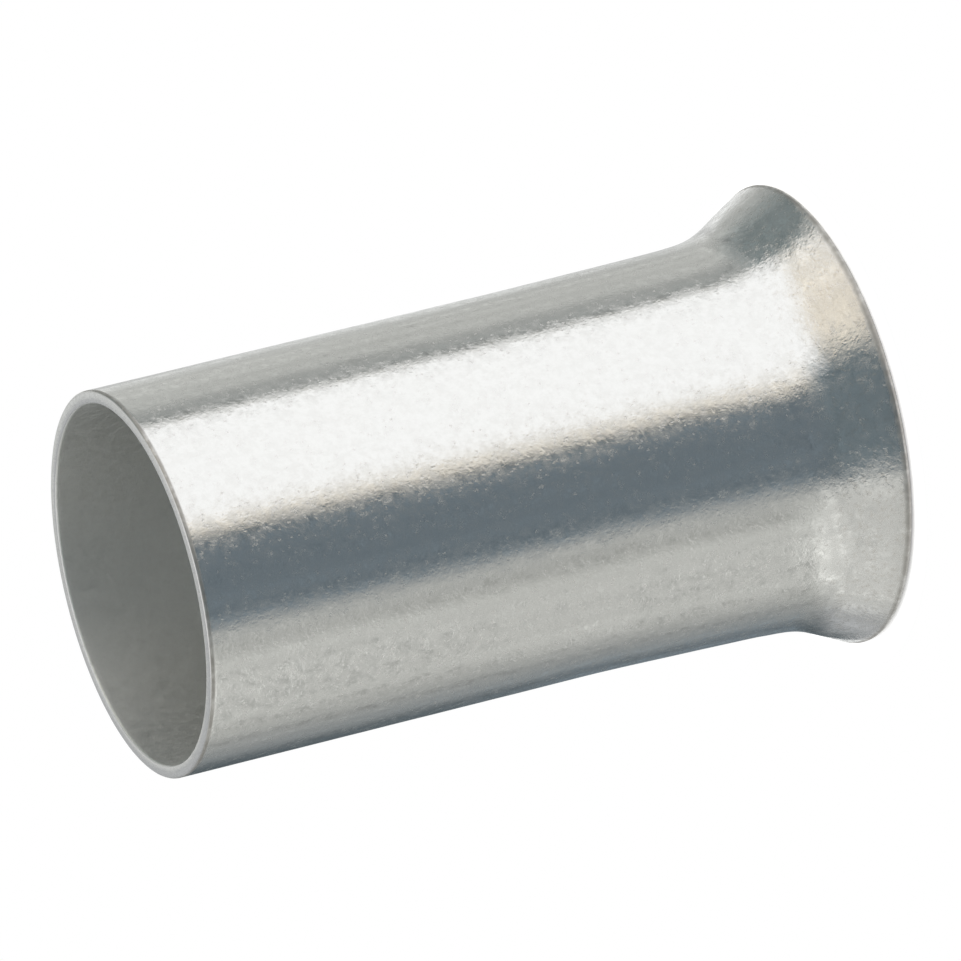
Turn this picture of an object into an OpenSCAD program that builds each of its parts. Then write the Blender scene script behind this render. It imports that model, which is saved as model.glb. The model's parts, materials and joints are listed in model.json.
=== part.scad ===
// Plain end sleeve (ferrule) for a stranded conductor of 16 mm2.
// One piece: a tinned copper tube with one end cut square and the other end flared.
// It stands on the flared mouth, with the tube's axis on +Z and the origin at the
// centre of the circle that it stands on. All sizes are in millimetres.

/* [Sleeve] */
// Length over all, from the lip of the mouth to the cut end
length = 12; // [8:0.5:40]
// Diameter of the bore that takes the bared conductor
bore_d = 5.88; // [2:0.01:20]
// Thickness of the tube's wall, with its tin layer
wall = 0.21; // [0.15:0.01:0.5]

/* [Flare] */
// How far the lip stands out from the outside of the sleeve, all round
flare_rise = 0.625; // [0.45:0.005:1]
// Angle between the flared wall and the axis, in degrees
flare_angle = 28.5; // [25:0.5:45]
// Length of the straight cone between the bend and the rounded lip
cone_run = 0.68; // [0.1:0.02:0.8]
// How far the punch has swelled the sleeve, just above the bend
swell = 0.055; // [0.005:0.005:0.1]
// Length of sleeve over which that swelling runs out
swell_run = 3.1; // [1:0.1:5]

/* [Edges] */
// Rounding of the inner and outer edge of the cut end
cut_edge_r = 0.04; // [0.01:0.01:0.07]
// Rounding of the inner and outer edge of the lip
lip_edge_r = 0.06; // [0.01:0.01:0.07]

/* [Hidden] */
$fn = 96;

tin = [0.68, 0.685, 0.675];
bore_r = bore_d / 2;
sleeve_r = bore_r + wall;

// Both faces of the bend share one centre, which keeps the wall as thick there as in the
// sleeve. The rise that the swell, the cone and the lip's rounding leave over sets its radius.
bend_rise = flare_rise - swell - cone_run * sin(flare_angle);
bend_r = bend_rise / (1 - cos(flare_angle)) - lip_edge_r;
bend_centre = sleeve_r + swell + bend_r;

// From the bend's centre down to the lowest point of the lip, which is its inner rounding.
inner_round = [bend_r + wall - lip_edge_r, cone_run];
foot = inner_round[0] * sin(flare_angle) + inner_round[1] * cos(flare_angle) + lip_edge_r;

// Bar with both corners of its far end rounded. It starts at y = 0, with x from 0 to wide.
module bar(wide, long, r) {
    square([wide, long - r]);
    translate([r, 0]) square([wide - 2 * r, long]);
    translate([r, long - r]) circle(r);
    translate([wide - r, long - r]) circle(r);
}

// Wall of the bend, as the part of a ring between the level of its centre and the flare.
module bend_section() {
    reach = 2 * (bend_r + wall);
    difference() {
        circle(bend_r + wall);
        circle(bend_r);
        translate([-reach, 0]) square([2 * reach, reach]);
        rotate(flare_angle) translate([-reach, -reach]) square([2 * reach, reach]);
    }
}

// Wall above the bend. It leans in by the swell and then runs straight to the cut end.
module barrel_section() {
    polygon([[0, 0], [wall, 0], [wall - swell, swell_run], [-swell, swell_run]]);
    translate([-swell, swell_run]) bar(wall, length - foot - swell_run, cut_edge_r);
}

// Section of the wall, drawn from the centre of the bend, with the axis to its left.
module wall_section() {
    translate([-bend_r - wall, 0]) barrel_section();
    bend_section();
    rotate(flare_angle) mirror([0, 1]) translate([-bend_r - wall, 0])
        bar(wall, cone_run + lip_edge_r, lip_edge_r);
}

module sleeve() {
    color(tin) rotate_extrude() translate([bend_centre, foot]) wall_section();
}

sleeve();
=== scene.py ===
"""Looks of a plain wire ferrule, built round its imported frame.

The sleeve is remodelled as one finely meshed shell with the small faults of a part that is
cut, flared, plated and tumbled, and is dressed in tin. A light tent gives the tin something
to show. Lengths are in metres, with the tube's axis on +Z and the flared mouth at z = 0.
"""

import json
import logging
import math
from collections.abc import Callable
from dataclasses import dataclass, field
from enum import Enum

import bpy
from mathutils import Matrix, Vector, noise


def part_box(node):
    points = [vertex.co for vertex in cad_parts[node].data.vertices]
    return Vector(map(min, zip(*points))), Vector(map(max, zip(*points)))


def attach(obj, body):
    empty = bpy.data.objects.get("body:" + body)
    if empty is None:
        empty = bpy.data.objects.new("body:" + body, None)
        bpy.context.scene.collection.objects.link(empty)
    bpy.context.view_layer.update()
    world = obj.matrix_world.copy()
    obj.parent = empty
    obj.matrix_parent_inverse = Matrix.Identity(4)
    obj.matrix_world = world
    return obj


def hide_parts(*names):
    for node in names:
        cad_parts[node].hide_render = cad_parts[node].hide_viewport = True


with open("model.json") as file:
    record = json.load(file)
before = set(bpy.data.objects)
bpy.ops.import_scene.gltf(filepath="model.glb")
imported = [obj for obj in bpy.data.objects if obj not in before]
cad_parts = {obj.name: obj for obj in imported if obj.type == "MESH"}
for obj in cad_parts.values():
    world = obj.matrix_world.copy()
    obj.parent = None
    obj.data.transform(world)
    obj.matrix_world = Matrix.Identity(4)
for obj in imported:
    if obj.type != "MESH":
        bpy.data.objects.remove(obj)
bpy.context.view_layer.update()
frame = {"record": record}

LOG = logging.getLogger("ferrule")
MM = 0.001
MICRON = 0.001 * MM
# Two places nearer than a hair are one.
HAIR = 1e-7
MOUTH_R = 3.775 * MM
# A fade from full to nothing.
FALLING = (1.0, 0.0)

Tree = bpy.types.NodeTree
Socket = bpy.types.NodeSocket
Feed = Socket | float
Pair = tuple[float, float]
Triple = tuple[float, float, float]
Colour = Triple


class Zone(Enum):
    """The two differently finished surfaces of the sleeve, and their material index."""

    OUTSIDE = 0
    BORE = 1


# ---------------------------------------------------------------------------------------
# Small helpers
# ---------------------------------------------------------------------------------------


def deselect_everything() -> None:
    """Leave object mode with nothing selected, so that operators act only on new pieces."""
    if bpy.context.object and bpy.context.object.mode != "OBJECT":
        bpy.ops.object.mode_set(mode="OBJECT")
    bpy.ops.object.select_all(action="DESELECT")


def mount_radius(name: str) -> float:
    """Radius of one of the record's round mounts.

    Args:
        name: The mount's name in the record.

    Returns:
        The radius in metres.
    """
    mounts = {mount["name"]: mount for mount in frame["record"]["mounts"]}
    return mounts[name]["dims"]["r_mm"] * MM


def eased(value: float, low: float, high: float) -> float:
    """Smooth step from 0 at low to 1 at high.

    Args:
        value: Where to read the step.
        low: Value that gives 0.
        high: Value that gives 1.

    Returns:
        The step's height at value.
    """
    share = min(1.0, max(0.0, (value - low) / (high - low)))
    return share * share * (3.0 - 2.0 * share)


def connect(tree: Tree, value: Feed | Colour, socket: Socket) -> None:
    """Link a socket to a node's input, or write a number or a colour into that input.

    Args:
        tree: Node tree that holds the node.
        value: Socket, number or colour.
        socket: The node's input.
    """
    if isinstance(value, bpy.types.NodeSocket):
        tree.links.new(value, socket)
    elif isinstance(value, tuple):
        socket.default_value = (*value, 1.0)
    else:
        socket.default_value = value


def group_node(tree: Tree, group: Tree, place: Socket, values: dict[str, float]) -> bpy.types.Node:
    """Place a shader group in a material and set its inputs.

    Args:
        tree: Node tree of the material.
        group: The group to place.
        place: Socket with the place that the group reads.
        values: Input name to value.

    Returns:
        The new group node.
    """
    node = tree.nodes.new("ShaderNodeGroup")
    node.node_tree = group
    tree.links.new(place, node.inputs["Place"])
    for name, value in values.items():
        node.inputs[name].default_value = value
    return node


def maths(
    tree: Tree, operation: str, first: Feed, second: Feed = 0.0, clamp: bool = False
) -> Socket:
    """Add a Math node.

    Args:
        tree: Node tree that takes the node.
        operation: Name of the operation.
        first: Socket or number for the first input.
        second: Socket or number for the second input.
        clamp: Whether the result is kept from 0 to 1.

    Returns:
        The result's socket.
    """
    node = tree.nodes.new("ShaderNodeMath")
    node.operation = operation
    node.use_clamp = clamp
    connect(tree, first, node.inputs[0])
    connect(tree, second, node.inputs[1])
    return node.outputs[0]


def span(tree: Tree, value: Socket, limits: Pair, to: Pair = (0.0, 1.0)) -> Socket:
    """Add a smooth Map Range node.

    Args:
        tree: Node tree that takes the node.
        value: Socket to map.
        limits: The value's range.
        to: The range that it is mapped on.

    Returns:
        The mapped value's socket.
    """
    node = tree.nodes.new("ShaderNodeMapRange")
    node.interpolation_type = "SMOOTHSTEP"
    tree.links.new(value, node.inputs["Value"])
    node.inputs["From Min"].default_value, node.inputs["From Max"].default_value = limits
    node.inputs["To Min"].default_value, node.inputs["To Max"].default_value = to
    return node.outputs[0]


def blend_colours(tree: Tree, share: Feed, first: Socket | Colour, second: Colour) -> Socket:
    """Add a Mix node for colours.

    Args:
        tree: Node tree that takes the node.
        share: Socket or number, 0 for the first colour and 1 for the second.
        first: Socket or colour.
        second: Colour that is laid over the first.

    Returns:
        The mixed colour's socket.
    """
    node = tree.nodes.new("ShaderNodeMix")
    node.data_type = "RGBA"
    connect(tree, share, node.inputs[0])
    connect(tree, first, node.inputs[6])
    connect(tree, second, node.inputs[7])
    return node.outputs[2]


def noise_node(
    tree: Tree, place: Socket, scale: Feed, detail: float = 2.0, rough: float = 0.5
) -> bpy.types.Node:
    """Add a Noise texture, whose first output is its value.

    Args:
        tree: Node tree that takes the node.
        place: Socket with the place to read.
        scale: Socket or number, cells for each metre.
        detail: Octaves.
        rough: How strong the finer octaves are.

    Returns:
        The new node.
    """
    node = tree.nodes.new("ShaderNodeTexNoise")
    tree.links.new(place, node.inputs["Vector"])
    connect(tree, scale, node.inputs["Scale"])
    node.inputs["Detail"].default_value = detail
    node.inputs["Roughness"].default_value = rough
    return node


def axes(tree: Tree, place: Socket) -> tuple[Socket, Socket, Socket]:
    """Split a place into its three coordinates.

    Args:
        tree: Node tree that takes the node.
        place: Socket with the place.

    Returns:
        The sockets of X, Y and Z.
    """
    node = tree.nodes.new("ShaderNodeSeparateXYZ")
    tree.links.new(place, node.inputs[0])
    return tuple(node.outputs)


# ---------------------------------------------------------------------------------------
# Shared surface effects
# ---------------------------------------------------------------------------------------


class Effects:
    """Shader node groups for the marks that both finishes carry, each built once.

    Cells are counted for each metre. Limits are where a noise starts and ends a mark. The
    lip's and the cut's pairs are the heights over which those rims fade in or out.
    """

    PATCH_CELLS: float = 9000.0
    PATCH_LIMITS: Pair = (0.47, 0.72)
    CRUMB_CELLS: float = 17000.0
    MIDDLE_CELLS: float = 8000.0
    WIDE_CELLS: float = 2400.0
    STRAIN_GAIN: float = 0.8
    RAGGED_CELLS: float = 22000.0
    RAGGED_SHIFT: float = 0.1 * MM
    CLOUD_LIMITS: Pair = (0.34, 0.66)
    RUB_LIMITS: Pair = (0.56, 0.72)
    RUB_LAYS: tuple[tuple[Triple, Triple], ...] = (
        ((0.5, 0.2, 0.0), (1.0, 7.0, 0.9)),
        ((-0.6, 0.9, 0.4), (8.0, 1.0, 0.8)),
    )
    # Rims: the mask that dulls the tin at the lip and on the cut end's outer edge also lays
    # painted shade there, a dark line along each edge.
    LIP_SHARE: float = 0.35
    LIP_EDGE: Pair = (0.12 * MM, 0.21 * MM)
    CUT_START: Pair = (0.004 * MM, 0.02 * MM)
    CUT_END: Pair = (0.05 * MM, 0.09 * MM)
    RIM_CELLS: float = 5000.0
    RIM_LIMITS: Pair = (0.3, 0.6)
    RIM_SHARES: Pair = (0.6, 1.0)

    def __init__(self) -> None:
        """Build every group."""
        self.grain = self._grain()
        self.pits = self._pits()
        self.clouds = self._clouds()
        self.rubs = self._rubs()
        self.rims = self._rims()

    @staticmethod
    def _start(name: str, inputs: tuple[str, ...], outputs: tuple[str, ...]) -> tuple:
        """Make an empty group with its sockets.

        Args:
            name: Name of the group.
            inputs: Names of the number inputs, beside the place.
            outputs: Names of the number outputs.

        Returns:
            The group, what it is given and what it puts out.
        """
        tree = bpy.data.node_groups.new(name, "ShaderNodeTree")
        tree.interface.new_socket("Place", in_out="INPUT", socket_type="NodeSocketVector")
        for key in inputs:
            tree.interface.new_socket(key, in_out="INPUT", socket_type="NodeSocketFloat")
        for key in outputs:
            tree.interface.new_socket(key, in_out="OUTPUT", socket_type="NodeSocketFloat")
        given, out = tree.nodes.new("NodeGroupInput"), tree.nodes.new("NodeGroupOutput")
        return tree, given.outputs, out.inputs

    def _grain(self) -> Tree:
        """Grain of plated tin: a height in micrometres, and a mask, 1 where it stands coarse.

        Strain, from 0 to 1, raises the grain where the metal was stretched.
        """
        depths = ("Wide", "Middle", "Fine", "Coarse", "Strain")
        tree, given, out = self._start("tin_grain", depths, ("Height", "Mask"))
        place = given["Place"]
        patch = noise_node(tree, place, self.PATCH_CELLS, 3.0, 0.65).outputs[0]
        patch = span(tree, patch, self.PATCH_LIMITS)
        swing = maths(tree, "SUBTRACT", given["Coarse"], given["Fine"])
        depth = maths(tree, "ADD", given["Fine"], maths(tree, "MULTIPLY", swing, patch))
        crumb = noise_node(tree, place, self.CRUMB_CELLS).outputs[0]
        total = maths(tree, "MULTIPLY", maths(tree, "SUBTRACT", crumb, 0.5), depth)
        layers = ((self.MIDDLE_CELLS, 2.0, "Middle"), (self.WIDE_CELLS, 1.5, "Wide"))
        for cells, detail, name in layers:
            layer = noise_node(tree, place, cells, detail).outputs[0]
            total = maths(tree, "ADD", total, maths(tree, "MULTIPLY", layer, given[name]))
        gain = maths(tree, "MULTIPLY", given["Strain"], self.STRAIN_GAIN)
        raised = maths(tree, "ADD", 1.0, gain)
        tree.links.new(maths(tree, "MULTIPLY", total, raised), out["Height"])
        tree.links.new(patch, out["Mask"])
        return tree

    def _pits(self) -> Tree:
        """Sparse small ragged pits: a mask, up to 1 in a pit, and a height, lower there.

        Share is how many cells hold a pit, and Size is a pit's reach in cells.
        """
        values = ("Cells", "Share", "Size")
        tree, given, out = self._start("tumbled_pits", values, ("Mask", "Height"))
        ragged = noise_node(tree, given["Place"], self.RAGGED_CELLS, 3.0)
        nudge = tree.nodes.new("ShaderNodeVectorMath")
        nudge.operation = "MULTIPLY_ADD"
        nudge.inputs[1].default_value = (self.RAGGED_SHIFT,) * 3
        tree.links.new(ragged.outputs["Color"], nudge.inputs[0])
        tree.links.new(given["Place"], nudge.inputs[2])
        cells = tree.nodes.new("ShaderNodeTexVoronoi")
        tree.links.new(nudge.outputs[0], cells.inputs["Vector"])
        tree.links.new(given["Cells"], cells.inputs["Scale"])
        spot = maths(tree, "SUBTRACT", given["Size"], cells.outputs["Distance"])
        depth = maths(tree, "DIVIDE", spot, given["Size"], clamp=True)
        draw = tree.nodes.new("ShaderNodeSeparateColor")
        tree.links.new(cells.outputs["Color"], draw.inputs[0])
        chosen = maths(tree, "LESS_THAN", draw.outputs[0], given["Share"])
        sized = maths(tree, "MULTIPLY", depth, draw.outputs[1])
        mask = maths(tree, "MULTIPLY", sized, chosen, clamp=True)
        tree.links.new(mask, out["Mask"])
        tree.links.new(maths(tree, "SUBTRACT", 1.0, mask), out["Height"])
        return tree

    def _clouds(self) -> Tree:
        """Cloudy patches that tumbling leaves: a value that swings about 0.5."""
        tree, given, out = self._start("tin_clouds", ("Cells",), ("Value",))
        patch = noise_node(tree, given["Place"], given["Cells"], 5.0, 0.65).outputs[0]
        tree.links.new(span(tree, patch, self.CLOUD_LIMITS), out["Value"])
        return tree

    def _rubs(self) -> Tree:
        """Faint rub marks along and across the tube: a mask, up to Share on a mark."""
        tree, given, out = self._start("rub_marks", ("Cells", "Share"), ("Mask",))
        layers = []
        for turn, stretch in self.RUB_LAYS:
            place = tree.nodes.new("ShaderNodeMapping")
            place.inputs["Rotation"].default_value = turn
            place.inputs["Scale"].default_value = stretch
            tree.links.new(given["Place"], place.inputs["Vector"])
            marks = noise_node(tree, place.outputs[0], given["Cells"], 3.0, 0.7).outputs[0]
            layers.append(span(tree, marks, self.RUB_LIMITS))
        strongest = maths(tree, "MAXIMUM", *layers)
        tree.links.new(maths(tree, "MULTIPLY", strongest, given["Share"]), out["Mask"])
        return tree

    def _rims(self) -> Tree:
        """Dulled rims with painted shade: a mask, up to 1 at the lip and on the cut end's outer
        edge, that dulls the tin there and carries a painted dark line.

        Noise breaks it. Lip Depth is how far up the weaker part at the lip goes.
        """
        values = ("Lip Depth", "Cut Level", "Cut Radius")
        tree, given, out = self._start("dulled_rims_painted_shade", values, ("Mask",))
        across, along, level = axes(tree, given["Place"])
        height = maths(tree, "DIVIDE", level, given["Lip Depth"])
        lip = maths(tree, "SUBTRACT", 1.0, height, clamp=True)
        lip = maths(tree, "MULTIPLY", lip, self.LIP_SHARE)
        lip = maths(tree, "MAXIMUM", lip, span(tree, level, self.LIP_EDGE, FALLING))
        under = maths(tree, "SUBTRACT", given["Cut Level"], level)
        start, end = span(tree, under, self.CUT_START), span(tree, under, self.CUT_END, FALLING)
        squares = [maths(tree, "MULTIPLY", side, side) for side in (across, along)]
        reach = maths(tree, "SQRT", maths(tree, "ADD", *squares))
        outside = maths(tree, "GREATER_THAN", reach, given["Cut Radius"])
        cut = maths(tree, "MULTIPLY", maths(tree, "MULTIPLY", start, end), outside)
        gaps = noise_node(tree, given["Place"], self.RIM_CELLS, 3.0, 0.6).outputs[0]
        broken = span(tree, gaps, self.RIM_LIMITS, self.RIM_SHARES)
        both = maths(tree, "MAXIMUM", lip, cut)
        tree.links.new(maths(tree, "MULTIPLY", both, broken), out["Mask"])
        return tree


@dataclass(frozen=True)
class TinFinish:
    """Plated tin, from freshly tumbled to dull.

    Depths of relief are in micrometres, cells are counted for each metre, and the cut level
    is the height of the cut end.
    """

    name: str
    cut_level: float
    colour: Colour = (0.676, 0.680, 0.671)
    shade: Colour = (0.646, 0.647, 0.636)
    metal: float = 1.0
    roughness: float = 0.11
    wide_depth: float = 4.5
    middle_depth: float = 1.4
    fine_depth: float = 1.2
    coarse_depth: float = 5.5
    grain_wear: float = 0.2
    grain_roughness: float = 0.07
    cloud_cells: float = 6000.0
    cloud_wear: float = 0.8
    cloud_roughness: float = 0.13
    rub_cells: float = 900.0
    rub_share: float = 0.3
    strained_fully: float = 0.57 * MM
    strained_below: float = 1.9 * MM
    stretch_share: float = 0.55
    stretch_colour: Colour = (0.55, 0.53, 0.50)
    rim_depth: float = 0.4 * MM
    rim_radius: float = 3.05 * MM
    rim_roughness: float = 0.3
    # Painted shade: the dark line laid along the lip and the cut end's outer edge.
    rim_painted_shade_colour: Colour = (0.36, 0.35, 0.33)
    pit_cells: float = 12000.0
    pit_share: float = 0.35
    pit_size: float = 0.38
    pit_depth: float = 1.4
    pit_roughness: float = 0.25
    pit_colour: Colour = (0.62, 0.61, 0.59)

    def material(self, effects: Effects) -> bpy.types.Material:
        """Build the finish as a material.

        Args:
            effects: The shared groups.

        Returns:
            The new material.
        """
        material = bpy.data.materials.new(self.name)
        material.use_nodes = True
        tree = material.node_tree
        place = tree.nodes.new("ShaderNodeTexCoord").outputs["Object"]
        marks = self._marks(tree, effects, place)
        strained = (self.strained_fully, self.strained_below)
        strain = span(tree, axes(tree, place)[2], strained, FALLING)
        tree.links.new(strain, marks["grain"].inputs["Strain"])
        shader = tree.nodes["Principled BSDF"]
        shader.inputs["Metallic"].default_value = self.metal
        tree.links.new(self._tone(tree, marks, strain), shader.inputs["Base Color"])
        tree.links.new(self._dullness(tree, marks), shader.inputs["Roughness"])
        tree.links.new(self._relief(tree, marks), shader.inputs["Normal"])
        return material

    def _marks(self, tree: Tree, effects: Effects, place: Socket) -> dict[str, bpy.types.Node]:
        """Place the shared groups with this finish's own values.

        Args:
            tree: Node tree of the material.
            effects: The shared groups.
            place: Socket with the place that the groups read.

        Returns:
            Each group's node by a short name.
        """
        depths = {"Wide": self.wide_depth, "Middle": self.middle_depth}
        depths |= {"Fine": self.fine_depth, "Coarse": self.coarse_depth}
        pits = {"Cells": self.pit_cells, "Share": self.pit_share, "Size": self.pit_size}
        rubs = {"Cells": self.rub_cells, "Share": self.rub_share}
        rims = {"Lip Depth": self.rim_depth, "Cut Level": self.cut_level}
        rims["Cut Radius"] = self.rim_radius
        return {
            "grain": group_node(tree, effects.grain, place, depths),
            "pits": group_node(tree, effects.pits, place, pits),
            "clouds": group_node(tree, effects.clouds, place, {"Cells": self.cloud_cells}),
            "rubs": group_node(tree, effects.rubs, place, rubs),
            "rims": group_node(tree, effects.rims, place, rims),
        }

    def _tone(self, tree: Tree, marks: dict[str, bpy.types.Node], strain: Socket) -> Socket:
        """Colour of the tin: clean, dulled, stretched, worn in a pit, or with painted shade at a
        rim.

        Args:
            tree: Node tree of the material.
            marks: The placed groups.
            strain: Socket with how far the metal was stretched, from 0 to 1.

        Returns:
            The colour's socket.
        """
        cloud, coarse = marks["clouds"].outputs["Value"], marks["grain"].outputs["Mask"]
        cloudy = maths(tree, "MULTIPLY", cloud, self.cloud_wear)
        worn = maths(tree, "ADD", cloudy, maths(tree, "MULTIPLY", coarse, self.grain_wear))
        worn = maths(tree, "MAXIMUM", worn, marks["rubs"].outputs["Mask"])
        colour = blend_colours(tree, worn, self.colour, self.shade)
        opened = maths(tree, "MULTIPLY", strain, coarse)
        stretched = maths(tree, "MULTIPLY", opened, self.stretch_share)
        colour = blend_colours(tree, stretched, colour, self.stretch_colour)
        # Painted shade: a dark line along the lip and the cut end's outer edge.
        colour = blend_colours(tree, marks["rims"].outputs["Mask"], colour, self.rim_painted_shade_colour)
        return blend_colours(tree, marks["pits"].outputs["Mask"], colour, self.pit_colour)

    def _dullness(self, tree: Tree, marks: dict[str, bpy.types.Node]) -> Socket:
        """Roughness of the tin: its own, and what each kind of mark adds.

        Args:
            tree: Node tree of the material.
            marks: The placed groups.

        Returns:
            The roughness's socket.
        """
        dull = maths(tree, "MULTIPLY", marks["clouds"].outputs["Value"], self.cloud_roughness)
        added = {"grain": self.grain_roughness, "rims": self.rim_roughness}
        added["pits"] = self.pit_roughness
        for name, extra in added.items():
            rougher = maths(tree, "MULTIPLY", marks[name].outputs["Mask"], extra)
            dull = maths(tree, "ADD", dull, rougher)
        return maths(tree, "ADD", dull, self.roughness)

    def _relief(self, tree: Tree, marks: dict[str, bpy.types.Node]) -> Socket:
        """Normal of the tin, with its grain and its pits.

        Args:
            tree: Node tree of the material.
            marks: The placed groups.

        Returns:
            The normal's socket.
        """
        normal = None
        for name, depth in (("grain", 1.0), ("pits", self.pit_depth)):
            bump = tree.nodes.new("ShaderNodeBump")
            bump.inputs["Strength"].default_value = 1.0
            bump.inputs["Distance"].default_value = depth * MICRON
            tree.links.new(marks[name].outputs["Height"], bump.inputs["Height"])
            if normal is not None:
                tree.links.new(normal, bump.inputs["Normal"])
            normal = bump.outputs["Normal"]
        return normal


# ---------------------------------------------------------------------------------------
# The sleeve
# ---------------------------------------------------------------------------------------


@dataclass
class Sleeve:
    """The ferrule's one piece: a thin tube with a square cut at the top and a flared foot.

    Waves are the ripple's sizes in cells for each metre, each with its strength. The end
    cells are a finer ripple, which reaches the end depth in from both ends.
    """

    barrel_r: float
    bore_r: float
    mouth_r: float
    height: float
    flare_deg: float = 28.5
    cone_run: float = 0.68 * MM
    swell: float = 0.055 * MM
    swell_run: float = 3.1 * MM
    swell_power: float = 1.3
    lip_round: float = 0.06 * MM
    lip_outer_round: float = 0.05 * MM
    cut_round: float = 0.04 * MM
    round_steps: int = 5
    sides: int = 240
    barrel_rings: int = 60
    swell_rings: int = 22
    bend_rings: int = 18
    cone_rings: int = 5
    mouth_shift: float = 0.07 * MM
    neck_shift: float = -0.016 * MM
    neck_low: float = 0.8 * MM
    neck_blend: float = 0.9 * MM
    ripple: float = 0.0026 * MM
    waves: tuple[Pair, ...] = ((700.0, 1.0), (1900.0, 0.35))
    end_cells: float = 2600.0
    end_depth: float = 0.25 * MM
    body: bpy.types.Object | None = field(init=False, default=None)

    @property
    def wall(self) -> float:
        """Thickness of the wall."""
        return self.barrel_r - self.bore_r

    @property
    def slope(self) -> float:
        """Angle between the flared wall and the axis, in radians."""
        return math.radians(self.flare_deg)

    @property
    def bend_r(self) -> float:
        """Radius of the bend's outside."""
        rise = self.mouth_r - self.barrel_r - self.swell - self.cone_run * math.sin(self.slope)
        return rise / (1 - math.cos(self.slope)) - self.lip_round

    @property
    def bend_z(self) -> float:
        """Height at which the swelled barrel runs into the bend."""
        inner = self.bend_r + self.wall - self.lip_round
        cone = self.cone_run * math.cos(self.slope)
        return inner * math.sin(self.slope) + cone + self.lip_round

    @property
    def swell_z(self) -> float:
        """Height at which the barrel starts to swell, going down."""
        return self.bend_z + self.swell_run

    def outline(self) -> list[Pair]:
        """Radius and height of each ring of the outside below the straight barrel, downwards."""
        rings = []
        for step in range(1, self.swell_rings + 1):
            share = step / self.swell_rings
            radius = self.barrel_r + self.swell * share**self.swell_power
            rings.append((radius, self.swell_z - self.swell_run * share))
        neck_r = self.barrel_r + self.swell
        for step in range(1, self.bend_rings + 1):
            turn = self.slope * step / self.bend_rings
            radius = neck_r + self.bend_r * (1 - math.cos(turn))
            rings.append((radius, self.bend_z - self.bend_r * math.sin(turn)))
        start_r, start_z = rings[-1]
        run = self.cone_run + self.lip_round
        for step in range(1, self.cone_rings + 1):
            along = run * (step / self.cone_rings)
            radius = start_r + along * math.sin(self.slope)
            rings.append((radius, start_z - along * math.cos(self.slope)))
        lowest = rings[-1][1]
        return [(radius + self._neck_fill(level, lowest), level) for radius, level in rings]

    def _neck_fill(self, level: float, lowest: float) -> float:
        """Extra radius that lets the bend start little by little.

        The bend's curve is averaged over the blend's length, and what that adds further
        down fades out towards the lip.

        Args:
            level: Height of the ring.
            lowest: Height of the lip, where nothing is added.

        Returns:
            What to add to the ring's radius.
        """
        past, half = self.bend_z - level, 0.5 * self.neck_blend
        if past <= -half:
            return 0.0
        if past < half:
            spread = (half + past) ** 3 / (6 * self.neck_blend) - max(past, 0.0) ** 2 / 2
        else:
            spread = self.neck_blend**2 / 24
        return spread / self.bend_r * (1.0 - max(past, 0.0) / (self.bend_z - lowest))

    def build(self) -> None:
        """Model the shell, from a ring to the finished mesh."""
        self._draw_barrel()
        self._flare_mouth()
        self._thicken()
        self._round_ends()
        self._settle()

    def _draw_barrel(self) -> None:
        """Extrude a ring down to where the barrel swells, and give the barrel its rings."""
        deselect_everything()
        top = (0, 0, self.height)
        bpy.ops.mesh.primitive_circle_add(
            vertices=self.sides, radius=self.barrel_r, fill_type="NOTHING", location=top
        )
        self.body = bpy.context.object
        self.body.name = self.body.data.name = "tinned_sleeve"
        bpy.ops.object.transform_apply(location=True, rotation=True, scale=True)
        bpy.ops.object.mode_set(mode="EDIT")
        bpy.ops.mesh.select_all(action="SELECT")
        drop = (0, 0, self.swell_z - self.height)
        bpy.ops.mesh.extrude_edges_move(TRANSFORM_OT_translate={"value": drop})
        self._select_edges(lambda a, b: abs(a.z - b.z) > 0.1 * self.height)
        bpy.ops.mesh.subdivide(number_cuts=self.barrel_rings)

    def _flare_mouth(self) -> None:
        """Carry the barrel's lowest ring on, round the bend and down the cone."""
        self._select_edges(lambda a, b: max(a.z, b.z) < self.swell_z + HAIR)
        radius, level = self.barrel_r, self.swell_z
        for next_radius, next_level in self.outline():
            drop = (0, 0, next_level - level)
            bpy.ops.mesh.extrude_edges_move(TRANSFORM_OT_translate={"value": drop})
            grow = next_radius / radius
            centre = (0, 0, next_level)
            bpy.ops.transform.resize(value=(grow, grow, 1), center_override=centre)
            radius, level = next_radius, next_level
        bpy.ops.mesh.select_all(action="SELECT")
        bpy.ops.mesh.remove_doubles(threshold=HAIR)
        bpy.ops.mesh.normals_make_consistent(inside=False)
        bpy.ops.object.mode_set(mode="OBJECT")
        first = self.body.data.polygons[0]
        if first.normal.dot(Vector((first.center.x, first.center.y, 0))) < 0:
            self.body.data.flip_normals()

    def _thicken(self) -> None:
        """Give the skin its wall, inwards and square to it."""
        wall = self.body.modifiers.new("wall", "SOLIDIFY")
        wall.thickness, wall.offset, wall.use_even_offset = self.wall, -1.0, True
        bpy.ops.object.modifier_apply(modifier=wall.name)

    def _round_ends(self) -> None:
        """Round both edges of the cut end and both edges of the lip."""
        bpy.ops.object.mode_set(mode="EDIT")
        lip_r, lip_z = self.outline()[-1]
        inner_r = lip_r - self.wall * math.cos(self.slope)
        inner_z = lip_z - self.wall * math.sin(self.slope)
        cut = ((self.barrel_r, self.height), (self.bore_r, self.height))
        self._round_rings(cut, self.cut_round)
        self._round_rings(((lip_r, lip_z),), self.lip_outer_round)
        self._round_rings(((inner_r, inner_z),), self.lip_round)
        bpy.ops.object.mode_set(mode="OBJECT")

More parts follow.
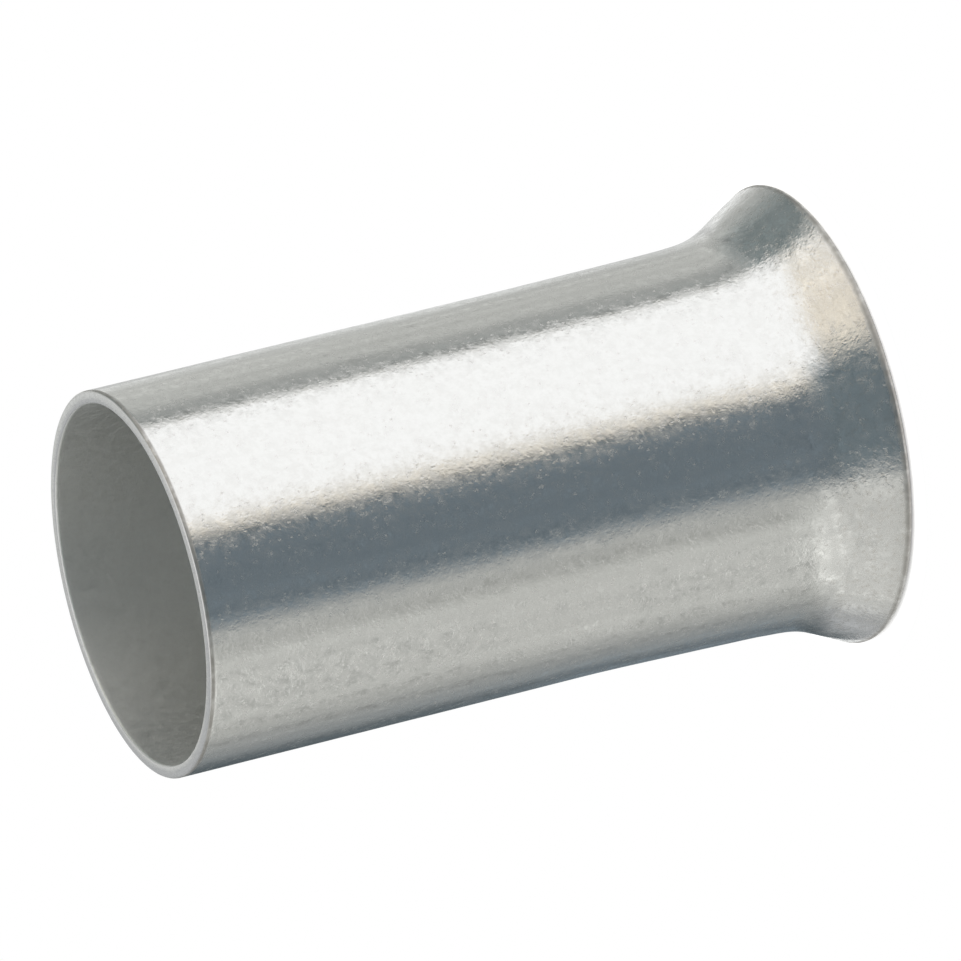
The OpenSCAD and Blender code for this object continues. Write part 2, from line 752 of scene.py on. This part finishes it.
    def _round_rings(self, rings: tuple[Pair, ...], size: float) -> None:
        """Round the edges that lie on some rings.

        Args:
            rings: Radius and height of each ring.
            size: How far each rounding reaches.
        """
        self._select_edges(
            lambda a, b: any(self._on_ring(a, ring) and self._on_ring(b, ring) for ring in rings)
        )
        bpy.ops.mesh.bevel(offset=size, segments=self.round_steps, profile=0.5)

    @staticmethod
    def _on_ring(place: Vector, ring: Pair) -> bool:
        """Whether a place lies on the ring of that radius and height.

        Args:
            place: The place.
            ring: The ring's radius and height.

        Returns:
            True where both are met within a few micrometres.
        """
        near = 4.0 * MICRON
        off = math.hypot(place.x, place.y) - ring[0]
        return abs(off) < near and abs(place.z - ring[1]) < near

    def _select_edges(self, wanted: Callable[[Vector, Vector], bool]) -> None:
        """Select edges by the places of their two ends.

        Args:
            wanted: Function of two places that says whether the edge is taken.
        """
        bpy.ops.mesh.select_mode(type="EDGE")
        bpy.ops.mesh.select_all(action="DESELECT")
        bpy.ops.object.mode_set(mode="OBJECT")
        mesh = self.body.data
        for edge in mesh.edges:
            edge.select = wanted(*(mesh.vertices[i].co for i in edge.vertices))
        bpy.ops.object.mode_set(mode="EDIT")

    def _settle(self) -> None:
        """Add the small faults of the real thing: an off-centre mouth and a rippled skin."""
        for vertex in self.body.data.vertices:
            place = vertex.co
            out = Vector((place.x, place.y, 0.0)).normalized()
            wave = sum(strength * noise.noise(place * cells) for cells, strength in self.waves)
            end = 1.0 - eased(min(place.z, self.height - place.z), 0.0, self.end_depth)
            wave += end * noise.noise(place * self.end_cells)
            below = 1.0 - eased(place.z, self.bend_z, self.swell_z)
            neck = eased(place.z, self.neck_low, self.bend_z) * below
            mouth = 1.0 - eased(place.z, 0.0, self.bend_z)
            aside = self.mouth_shift * mouth + self.neck_shift * neck
            vertex.co = place + out * (self.ripple * wave) + Vector((aside, 0.0, 0.0))

    def dress(self, outside: bpy.types.Material, bore: bpy.types.Material) -> None:
        """Shade the shell smooth and give each zone its finish.

        Args:
            outside: Material of the outside, the rims and the lip.
            bore: Material of the inner wall, whose faces look at the axis.
        """
        mesh = self.body.data
        mesh.materials.clear()
        for material in (outside, bore):
            mesh.materials.append(material)
        for face in mesh.polygons:
            out = Vector((face.center.x, face.center.y, 0.0)).normalized()
            zone = Zone.BORE if face.normal.dot(out) < -0.5 else Zone.OUTSIDE
            face.material_index = zone.value
        deselect_everything()
        self.body.select_set(True)
        bpy.context.view_layer.objects.active = self.body
        bpy.ops.object.shade_smooth()

    def hand_over(self) -> None:
        """Attach the piece to the root body and hide the imported part that it replaces."""
        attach(self.body, "root")
        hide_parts("sleeve")


# ---------------------------------------------------------------------------------------
# The studio
# ---------------------------------------------------------------------------------------


@dataclass(frozen=True)
class Panel:
    """One lit or dark panel of the tent, by bearing and rise as seen from the ferrule.

    Both are in degrees. Bearings run from the camera's side (-Y) towards +X, and a rise of
    70 or -70 lies past the wall's own edge. Feathers are half the width of the fade at the
    start and at the end. A torn panel's start in bearing and end in rise are uneven.
    """

    name: str
    bearing: Pair
    rise: Pair
    colour: Colour
    feather: Pair = (3.0, 3.0)
    rise_feather: Pair = (3.0, 3.0)
    torn: bool = False


@dataclass(frozen=True)
class Aim:
    """Sockets with where a point of the tent's wall is seen, straight and made uneven."""

    bearing: Socket
    rise: Socket
    torn_bearing: Socket
    torn_rise: Socket


@dataclass
class Tent:
    """A round light tent whose panels are what the tin reflects."""

    radius: float = 0.25
    low_deg: float = -62.0
    high_deg: float = 52.0
    sides: int = 96
    plain: Colour = (0.64, 0.645, 0.62)
    unevenness: float = 0.8
    weave_cells: Triple = (40.0, 40.0, 60.0)
    weave_limits: Pair = (0.3, 0.7)
    torn_cells: float = 60.0
    torn_deg: float = 26.0
    panels: tuple[Panel, ...] = (
        Panel("back_light", (154, 200), (-70, 70), (0.74, 0.75, 0.74), (14, 3)),
        Panel("back_glow", (152, 200), (-16.4, -10), (1.0, 1.01, 1.0), (8, 3), (0.8, 3)),
        Panel("side_high", (-125, -40), (-8, 70), (0.78, 0.78, 0.75), (16, 3), (8, 3)),
        Panel("side_dim", (-122, -44), (-70, -14.5), (0.51, 0.515, 0.49), (10, 8), (3, 2)),
        Panel("side_low", (-122, -60), (-70, -19.5), (0.76, 0.76, 0.73), (14, 8), (3, 1)),
        Panel("side_glow", (-106, -54), (-15.7, -2), (1.04, 1.04, 1.0), (24, 18), (2.2, 11)),
        Panel("side_back", (-200, -124), (-14, 70), (0.52, 0.53, 0.54), (3, 12), (8, 3)),
        Panel("flag_back", (-200, -133), (-70, -8.5), (0.11, 0.135, 0.15), (3, 28), (3, 7.5)),
        Panel("flag_low", (-200, -130), (-70, -19.8), (0.22, 0.265, 0.30), (3, 28), (3, 0.8)),
        Panel("flag_side", (96, 137), (-9, 45), (0.27, 0.315, 0.32), (2, 18), (10, 10)),
        Panel("key_frame", (94, 110), (-70, -3), (0.40, 0.42, 0.41), (2, 9), (3, 8)),
        Panel("flag_front", (-37, 26), (-70, 70), (0.185, 0.225, 0.255), (5, 5)),
        Panel("warm_board", (16.5, 96), (-70, 48), (1.08, 0.99, 0.85), (4, 2), (3, 8), True),
        Panel("flag_high", (-32, 32.5), (7, 70), (0.19, 0.235, 0.26), (3, 9), (9, 3)),
    )
    key: Panel = Panel("key", (25, 95.5), (-70, 20.5), (1.37, 1.37, 1.37), (6, 1.8), (3, 9), True)

    def build(self) -> None:
        """Make the tent's wall and its shader, unseen by the camera itself."""
        deselect_everything()
        edges = (self.low_deg, self.high_deg)
        low, high = (self.radius * math.tan(math.radians(edge)) for edge in edges)
        bpy.ops.mesh.primitive_cylinder_add(
            vertices=self.sides,
            radius=self.radius,
            depth=high - low,
            end_fill_type="NOTHING",
            location=(0, 0, (high + low) / 2),
        )
        wall = bpy.context.object
        wall.name = wall.data.name = "tent_wall"
        bpy.ops.object.transform_apply(location=True, rotation=True, scale=True)
        wall.data.materials.append(self._glow())
        wall.visible_camera = False
        wall.visible_shadow = False

    def _glow(self) -> bpy.types.Material:
        """The wall's shader: panels over the plain tone, made uneven, and the key over all."""
        material = bpy.data.materials.new("tent_glow")
        material.use_nodes = True
        tree = material.node_tree
        tree.nodes.clear()
        place = tree.nodes.new("ShaderNodeTexCoord").outputs["Object"]
        aim = self._aim(tree, place)
        colour = self.plain
        for panel in self.panels:
            colour = self._lay(tree, panel, aim, colour)
        cloth = tree.nodes.new("ShaderNodeVectorMath")
        cloth.operation = "SCALE"
        tree.links.new(colour, cloth.inputs[0])
        tree.links.new(self._weave(tree, place), cloth.inputs["Scale"])
        colour = self._lay(tree, self.key, aim, cloth.outputs[0])
        glow = tree.nodes.new("ShaderNodeEmission")
        tree.links.new(colour, glow.inputs["Color"])
        out = tree.nodes.new("ShaderNodeOutputMaterial")
        tree.links.new(glow.outputs[0], out.inputs["Surface"])
        return material

    def _aim(self, tree: Tree, place: Socket) -> Aim:
        """Work out each point's bearing and rise in degrees.

        Args:
            tree: Node tree that takes the nodes.
            place: Socket with the point's place.

        Returns:
            The sockets with both, straight and made uneven.
        """
        degrees = 180.0 / math.pi
        side, depth, height = axes(tree, place)
        turned = maths(tree, "ARCTAN2", side, maths(tree, "MULTIPLY", depth, -1.0))
        bearing = maths(tree, "MULTIPLY", turned, degrees)
        raised = maths(tree, "ARCTAN2", height, self.radius)
        rise = maths(tree, "MULTIPLY", raised, degrees)
        torn = noise_node(tree, place, self.torn_cells).outputs[0]
        shift = maths(tree, "MULTIPLY", maths(tree, "SUBTRACT", torn, 0.5), self.torn_deg)
        torn_bearing = maths(tree, "ADD", bearing, shift)
        return Aim(bearing, rise, torn_bearing, maths(tree, "ADD", rise, shift))

    def _weave(self, tree: Tree, place: Socket) -> Socket:
        """Uneven brightness of the tent's cloth.

        Args:
            tree: Node tree that takes the nodes.
            place: Socket with the point's place.

        Returns:
            The socket of a factor that swings about 1.
        """
        cells = tree.nodes.new("ShaderNodeMapping")
        cells.inputs["Scale"].default_value = self.weave_cells
        tree.links.new(place, cells.inputs["Vector"])
        weave = noise_node(tree, cells.outputs[0], 1.0, rough=0.6).outputs[0]
        swing = self.unevenness / 2
        return span(tree, weave, self.weave_limits, (1.0 - swing, 1.0 + swing))

    def _lay(self, tree: Tree, panel: Panel, aim: Aim, under: Socket | Colour) -> Socket:
        """Lay a panel over what is there.

        Args:
            tree: Node tree that takes the nodes.
            panel: The panel.
            aim: Where each point is seen.
            under: Socket or colour of what is there.

        Returns:
            The new colour's socket.
        """
        around = (aim.torn_bearing if panel.torn else aim.bearing, aim.bearing)
        upward = (aim.rise, aim.torn_rise if panel.torn else aim.rise)
        across = self._cover(tree, around, panel.bearing, panel.feather)
        up = self._cover(tree, upward, panel.rise, panel.rise_feather)
        colour = blend_colours(tree, maths(tree, "MULTIPLY", across, up), under, panel.colour)
        colour.node.label = panel.name
        return colour

    @staticmethod
    def _cover(
        tree: Tree, values: tuple[Socket, Socket], limits: Pair, feather: Pair
    ) -> Socket:
        """Mask that is 1 between two limits, with feathered edges.

        Args:
            tree: Node tree that takes the nodes.
            values: Sockets with the bearing or the rise, for the start and for the end.
            limits: Where the panel starts and ends.
            feather: Half the width of each edge's fade.

        Returns:
            The mask's socket.
        """
        fade_in = (limits[0] - feather[0], limits[0] + feather[0])
        fade_out = (limits[1] - feather[1], limits[1] + feather[1])
        start = span(tree, values[0], fade_in)
        end = span(tree, values[1], fade_out, FALLING)
        return maths(tree, "MULTIPLY", start, end)


@dataclass
class Studio:
    """Floor, world, tent and camera.

    The floor glows beyond the mouth's rim and well inside the bore. Between the two it only
    takes light, and so shows the shadow under the wall.
    """

    floor_r: float = 4.1 * MM
    floor_sides: int = 96
    floor_colour: Colour = (0.8, 0.8, 0.8)
    floor_roughness: float = 0.9
    floor_glow: float = 0.74
    glow_beyond: Pair = (3.5 * MM, 3.78 * MM)
    glow_within: Pair = (2.2 * MM, 2.9 * MM)
    camera_place: Triple = (0.284 * MM, -227.2 * MM, 92.71 * MM)
    pitch_deg: float = 20.93
    roll_deg: float = -103.79
    lens: float = 571.28
    sensor: float = 36.0
    clip: Pair = (0.01, 2.0)

    def build(self) -> None:
        """Set up all of the studio."""
        self._floor()
        self._world()
        Tent().build()
        self._camera()
        bpy.context.scene.view_settings.view_transform = "Standard"

    def _floor(self) -> None:
        """Add the small round pale stand that the ferrule stands on."""
        deselect_everything()
        bpy.ops.mesh.primitive_circle_add(
            vertices=self.floor_sides, radius=self.floor_r, fill_type="NGON"
        )
        floor = bpy.context.object
        floor.name = floor.data.name = "floor"
        floor.data.materials.append(self._pale())

    def _pale(self) -> bpy.types.Material:
        """The floor's material."""
        material = bpy.data.materials.new("pale_floor")
        material.use_nodes = True
        tree = material.node_tree
        shader = tree.nodes["Principled BSDF"]
        shader.inputs["Base Color"].default_value = (*self.floor_colour, 1.0)
        shader.inputs["Roughness"].default_value = self.floor_roughness
        shader.inputs["Specular IOR Level"].default_value = 0.0
        shader.inputs["Emission Strength"].default_value = 1.0
        away = tree.nodes.new("ShaderNodeVectorMath")
        away.operation = "LENGTH"
        place = tree.nodes.new("ShaderNodeTexCoord").outputs["Object"]
        tree.links.new(place, away.inputs[0])
        reach = away.outputs["Value"]
        outer = span(tree, reach, self.glow_beyond, (0.0, self.floor_glow))
        inner = span(tree, reach, self.glow_within, FALLING)
        tree.links.new(maths(tree, "ADD", outer, inner), shader.inputs["Emission Color"])
        return material

    def _world(self) -> None:
        """Even white surroundings."""
        world = bpy.data.worlds.new("white_room")
        bpy.context.scene.world = world
        world.use_nodes = True
        background = world.node_tree.nodes["Background"]
        background.inputs["Color"].default_value = (1.0, 1.0, 1.0, 1.0)
        background.inputs["Strength"].default_value = 1.0

    def _camera(self) -> None:
        """Long lens in front of the ferrule, rolled so that the tube lies across the view."""
        data = bpy.data.cameras.new("camera")
        camera = bpy.data.objects.new("camera", data)
        bpy.context.scene.collection.objects.link(camera)
        data.lens, data.sensor_width = self.lens, self.sensor
        data.clip_start, data.clip_end = self.clip
        tip = Matrix.Rotation(math.radians(90.0 - self.pitch_deg), 4, "X")
        roll = Matrix.Rotation(math.radians(self.roll_deg), 4, "Z")
        camera.matrix_world = Matrix.Translation(self.camera_place) @ tip @ roll
        bpy.context.scene.camera = camera


def bore_finish(height: float) -> TinFinish:
    """Finish of the inner wall: the same tin, dull, fine-grained and with no pits.

    Args:
        height: Height of the cut end.

    Returns:
        The finish.
    """
    return TinFinish(
        "tin_bore",
        height,
        colour=(0.69, 0.70, 0.685),
        shade=(0.66, 0.67, 0.655),
        roughness=0.5,
        wide_depth=3.0,
        middle_depth=0.8,
        fine_depth=0.2,
        coarse_depth=0.8,
        grain_roughness=0.1,
        stretch_share=0.0,
        pit_share=0.0,
    )


def main() -> None:
    """Build the sleeve and its studio, in order."""
    logging.basicConfig(level=logging.INFO, format="%(name)s: %(message)s")
    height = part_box("sleeve")[1][2]
    sleeve = Sleeve(
        barrel_r=mount_radius("barrel"),
        bore_r=mount_radius("wire_bore"),
        mouth_r=MOUTH_R,
        height=height,
    )
    sleeve.build()
    effects = Effects()
    outside = TinFinish("tin_tumbled", height).material(effects)
    sleeve.dress(outside, bore_finish(height).material(effects))
    sleeve.hand_over()
    LOG.info("sleeve: %d faces", len(sleeve.body.data.polygons))
    Studio().build()
    LOG.info("studio ready")


if __name__ == "__main__":
    main()
